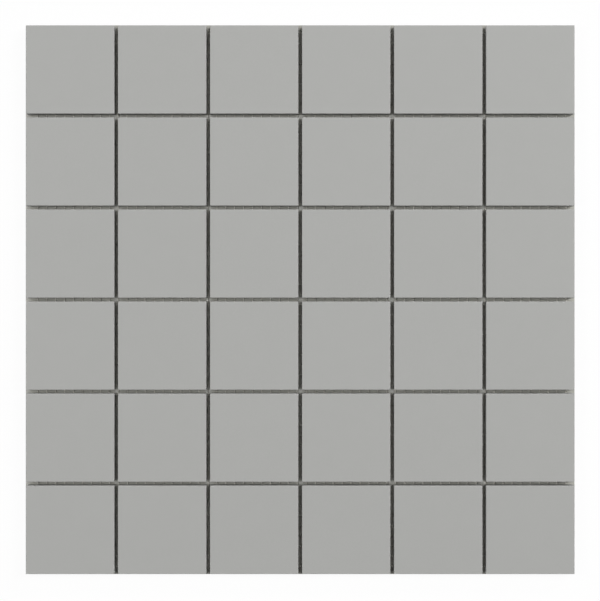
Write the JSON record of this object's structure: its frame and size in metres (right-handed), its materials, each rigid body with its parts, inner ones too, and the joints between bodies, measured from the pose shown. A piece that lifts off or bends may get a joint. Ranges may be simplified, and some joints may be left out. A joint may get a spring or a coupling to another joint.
{
  "type": "mosaic tile sheet",
  "caption": "Square sheet of square matt porcelain mosaic chips, held a narrow joint apart by an open net bonded to their backs.",
  "frame": {"origin": "under the middle of the sheet, on the surface its net lies on", "axes": "+Z out of the finished face; +X along the rows of chips, +Y along the columns, towards row 1, the top of the picture"},
  "size_m": [0.298, 0.298, 0.0097],
  "materials": {
    "tile_body": "matt unglazed light grey",
    "net": "off-white coated glass-fibre yarn"
  },
  "bodies": {
    "root": {"net_warp": "net", "net_weft": "net", "tile_r1_c1": "tile_body", "tile_r1_c2": "tile_body", "tile_r1_c3": "tile_body", "tile_r1_c4": "tile_body", "tile_r1_c5": "tile_body", "tile_r1_c6": "tile_body", "tile_r2_c1": "tile_body", "tile_r2_c2": "tile_body", "tile_r2_c3": "tile_body", "tile_r2_c4": "tile_body", "tile_r2_c5": "tile_body", "tile_r2_c6": "tile_body", "tile_r3_c1": "tile_body", "tile_r3_c2": "tile_body", "tile_r3_c3": "tile_body", "tile_r3_c4": "tile_body", "tile_r3_c5": "tile_body", "tile_r3_c6": "tile_body", "tile_r4_c1": "tile_body", "tile_r4_c2": "tile_body", "tile_r4_c3": "tile_body", "tile_r4_c4": "tile_body", "tile_r4_c5": "tile_body", "tile_r4_c6": "tile_body", "tile_r5_c1": "tile_body", "tile_r5_c2": "tile_body", "tile_r5_c3": "tile_body", "tile_r5_c4": "tile_body", "tile_r5_c5": "tile_body", "tile_r5_c6": "tile_body", "tile_r6_c1": "tile_body", "tile_r6_c2": "tile_body", "tile_r6_c3": "tile_body", "tile_r6_c4": "tile_body", "tile_r6_c5": "tile_body", "tile_r6_c6": "tile_body"}
  },
  "joints": []
}
